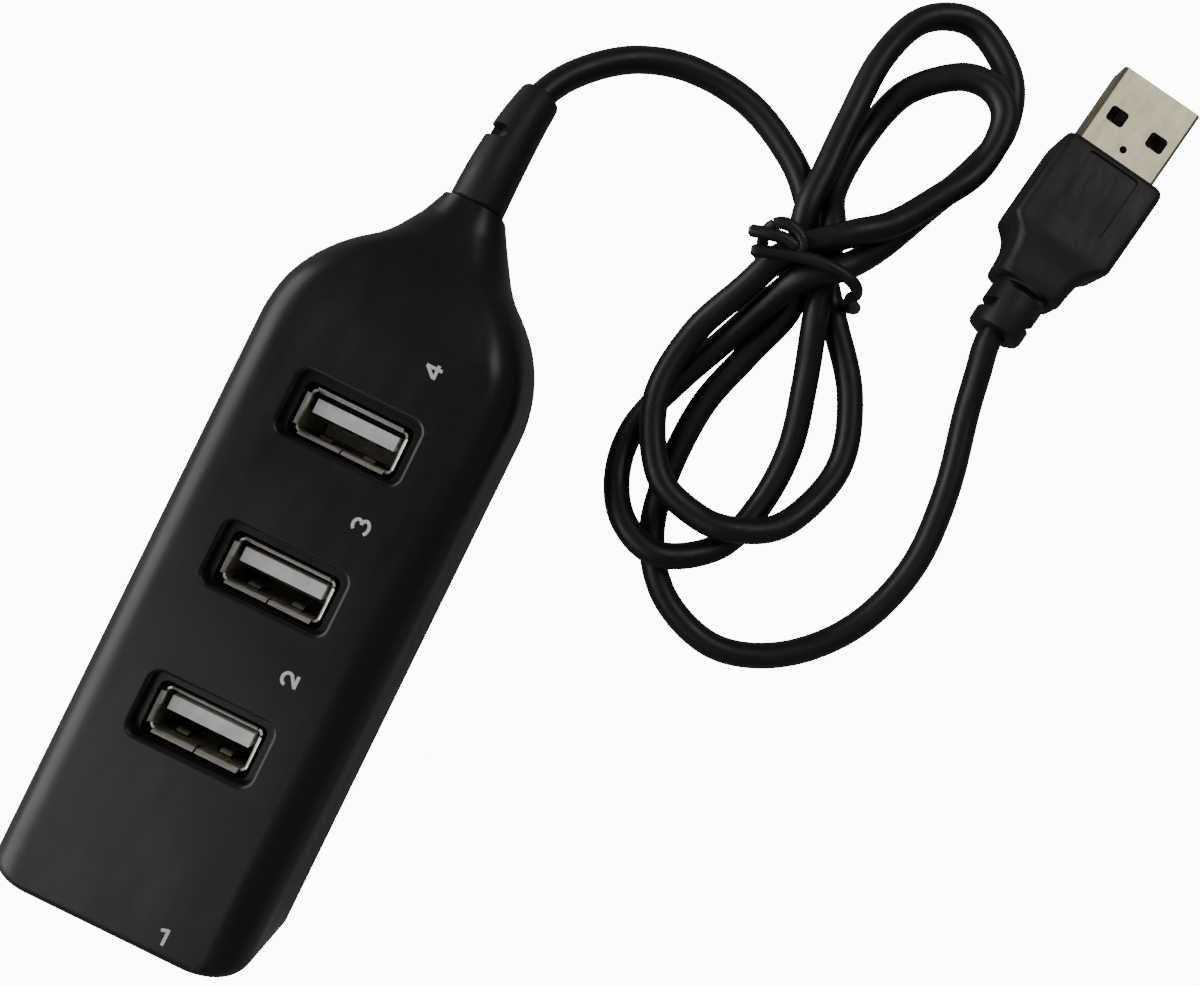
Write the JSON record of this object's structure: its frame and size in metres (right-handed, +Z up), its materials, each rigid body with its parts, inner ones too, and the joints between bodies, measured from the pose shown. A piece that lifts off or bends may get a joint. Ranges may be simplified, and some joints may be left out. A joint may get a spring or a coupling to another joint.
{
  "type": "usb hub",
  "caption": "Black power-strip shaped USB-A hub with sockets on top and in the tail end, a moulded cable boot, and a coiled tied cable that ends in a USB-A plug.",
  "frame": {"origin": "centre of the case's flat underside, on the surface the hub stands on", "axes": "+Y along the case from the tail port to the cable end, +X to the right seen from above, +Z up out of the top ports"},
  "size_m": [0.0969, 0.156, 0.0195],
  "materials": {
    "case_plastic": "satin black ABS",
    "board": "green solder mask",
    "chip_black": "moulded epoxy",
    "crystal_can": "drawn can",
    "capacitor_sleeve": "shrink sleeve",
    "ceramic": "fired ceramic",
    "tin": "tinned",
    "wire_red": "insulation",
    "wire_white": "insulation",
    "wire_green": "insulation",
    "wire_black": "insulation",
    "moulded_pvc": "soft moulded PVC",
    "cable_pvc": "soft PVC jacket",
    "tie_plastic": "coated wire",
    "socket_steel": "nickel plate",
    "plug_steel": "nickel plate, slightly warm",
    "insulator": "off-white",
    "gold": "gold flash",
    "plug_plastic": "dark moulded block",
    "contact_tin": "nickel plate"
  },
  "bodies": {
    "case": {"top_cover": "case_plastic", "bottom_cover": "case_plastic", "circuit_board": "board", "hub_chip": "chip_black", "crystal": "crystal_can", "capacitor": "capacitor_sleeve", "chip_parts": "ceramic", "socket_1_shell": "socket_steel", "socket_1_insulator": "insulator", "socket_2_shell": "socket_steel", "socket_2_insulator": "insulator", "socket_3_shell": "socket_steel", "socket_3_insulator": "insulator", "socket_4_shell": "socket_steel", "socket_4_insulator": "insulator", "contact_tails": "tin", "wire_red": "wire_red", "wire_white": "wire_white", "wire_green": "wire_green", "wire_black": "wire_black", "hub_boot": "moulded_pvc", "hub_lead": "cable_pvc"},
    "contacts_1": {"socket_1_contacts": "gold"},
    "contacts_2": {"socket_2_contacts": "gold"},
    "contacts_3": {"socket_3_contacts": "gold"},
    "contacts_4": {"socket_4_contacts": "gold"},
    "coil": {"cable_coil": "cable_pvc", "twist_tie": "tie_plastic"},
    "plug_bend": {"plug_lead": "cable_pvc"},
    "plug": {"plug_grip": "moulded_pvc", "plug_core": "insulator", "plug_shell": "plug_steel", "plug_insulator": "plug_plastic", "plug_contacts": "contact_tin"}
  },
  "joints": [
    {"name": "contacts_1_spring", "type": "hinge", "parent": "case", "child": "contacts_1", "pos_m": [0, -0.0371, 0.00731], "axis": [-1, 0, 0], "range_deg": [0, 2.5], "stiffness_Nm_per_rad": 0.02},
    {"name": "contacts_2_spring", "type": "hinge", "parent": "case", "child": "contacts_2", "pos_m": [0, -0.0225, 0.0064], "axis": [-1, 0, 0], "range_deg": [0, 2.5], "stiffness_Nm_per_rad": 0.02},
    {"name": "contacts_3_spring", "type": "hinge", "parent": "case", "child": "contacts_3", "pos_m": [0, -0.0022, 0.0064], "axis": [-1, 0, 0], "range_deg": [0, 2.5], "stiffness_Nm_per_rad": 0.02},
    {"name": "contacts_4_spring", "type": "hinge", "parent": "case", "child": "contacts_4", "pos_m": [0, 0.0181, 0.0064], "axis": [-1, 0, 0], "range_deg": [0, 2.5], "stiffness_Nm_per_rad": 0.02},
    {"name": "boot_bend", "type": "hinge", "parent": "case", "child": "coil", "pos_m": [0.0003, 0.0601, 0.0103], "axis": [0, 0, 1], "range_deg": [-10, 35], "stiffness_Nm_per_rad": 0.01, "deforming": ["hub_boot", "hub_lead"]},
    {"name": "plug_swing", "type": "hinge", "parent": "coil", "child": "plug_bend", "pos_m": [0.0714, 0.0501, 0.002], "axis": [0, 0, 1], "range_deg": [-35, 3], "stiffness_Nm_per_rad": 0.003, "deforming": ["plug_lead"]},
    {"name": "plug_lift", "type": "hinge", "parent": "plug_bend", "child": "plug", "pos_m": [0.06813, 0.06645, 0.0044], "axis": [0.989, -0.1478, 0], "range_deg": [0, 40], "stiffness_Nm_per_rad": 0.003}
  ]
}
